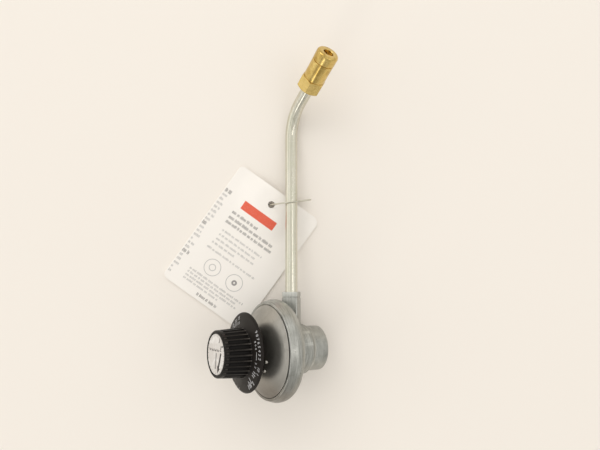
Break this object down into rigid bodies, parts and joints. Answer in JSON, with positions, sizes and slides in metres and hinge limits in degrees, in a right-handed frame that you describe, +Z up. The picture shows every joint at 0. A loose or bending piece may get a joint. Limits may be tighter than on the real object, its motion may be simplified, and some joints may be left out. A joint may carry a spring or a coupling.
{
  "type": "gas regulator with outlet tube",
  "caption": "Low-pressure gas regulator with fluted dial knob, threaded cylinder inlet, rigid bent outlet tube with brass jet nozzle, and a folded paper tag on a wire loop",
  "frame": {"origin": "middle of the bounding box in plan, on the floor that the part lies on", "axes": "+Z up; +Y along the outlet tube in plan, from the casing to the nozzle; the knob faces -X and up"},
  "size_m": [0.1146, 0.2214, 0.0604],
  "materials": {
    "casting": "die-cast zinc alloy, satin, faint turning rings",
    "cover": "die-cast zinc alloy, satin, warmer grey",
    "nickel": "nickel plated steel tube",
    "brass": "machined brass",
    "jet": "machined brass, dull",
    "steel": "zinc plated steel",
    "spring": "spring steel",
    "rubber": "nitrile rubber",
    "bush": "acetal",
    "filter": "sintered bronze",
    "knob": "moulded black plastic",
    "label": "white face disc",
    "paper": "uncoated tag paper",
    "wire": "soft steel tie wire"
  },
  "bodies": {
    "regulator_body": {"body_casting": "casting", "cover_casting": "cover", "slip_ring": "steel", "diaphragm": "rubber", "main_spring": "spring", "stem_bush": "bush", "inlet_nipple": "brass", "inlet_seal_ring": "rubber", "depressor_pin": "steel", "inlet_filter": "filter", "valve_retainer": "brass", "poppet_spring": "spring", "outlet_tube": "nickel", "nozzle_body": "brass", "orifice_jet": "jet"},
    "knob_and_stem": {"knob": "knob", "knob_face_disc": "label", "adjusting_stem": "steel", "stem_clip": "spring"},
    "nut": {"spring_nut": "brass"},
    "diaphragm_centre": {"diaphragm_plate": "steel", "diaphragm_pin": "brass"},
    "poppet": {"valve_poppet": "brass", "poppet_seal": "rubber"},
    "tie": {"wire_tie": "wire"},
    "tag": {"paper_tag": "paper"}
  },
  "joints": [
    {"name": "knob_turn", "type": "hinge", "parent": "regulator_body", "child": "knob_and_stem", "pos_m": [0.01255, -0.07847, 0.03131], "axis": [-0.8582, 0.0653, 0.5092], "range_deg": [0, 270]},
    {"name": "nut_slide", "type": "slide", "parent": "regulator_body", "child": "nut", "axis": [0.8582, -0.0653, -0.5092], "range_m": [0, 0.003], "deforming": ["main_spring"]},
    {"name": "diaphragm_slide", "type": "slide", "parent": "regulator_body", "child": "diaphragm_centre", "axis": [0.8582, -0.0653, -0.5092], "range_m": [0, 0.0008], "deforming": ["diaphragm"]},
    {"name": "poppet_slide", "type": "slide", "parent": "regulator_body", "child": "poppet", "axis": [0.8582, -0.0653, -0.5092], "range_m": [0, 0.0008], "deforming": ["poppet_spring"]},
    {"name": "tie_slide", "type": "slide", "parent": "regulator_body", "child": "tie", "axis": [0, 1, 0], "range_m": [0, 0.008]},
    {"name": "tag_turn", "type": "hinge", "parent": "tie", "child": "tag", "pos_m": [0.01511, 0.01338, 0.003], "axis": [0, 0, 1], "range_deg": [-50, 0]}
  ],
  "couplings": [
    {"joint": "nut_slide", "follows": "knob_turn", "m_per_rad": 0.000636},
    {"joint": "diaphragm_slide", "follows": "knob_turn", "m_per_rad": 0.000169},
    {"joint": "poppet_slide", "follows": "knob_turn", "m_per_rad": 0.000169}
  ]
}
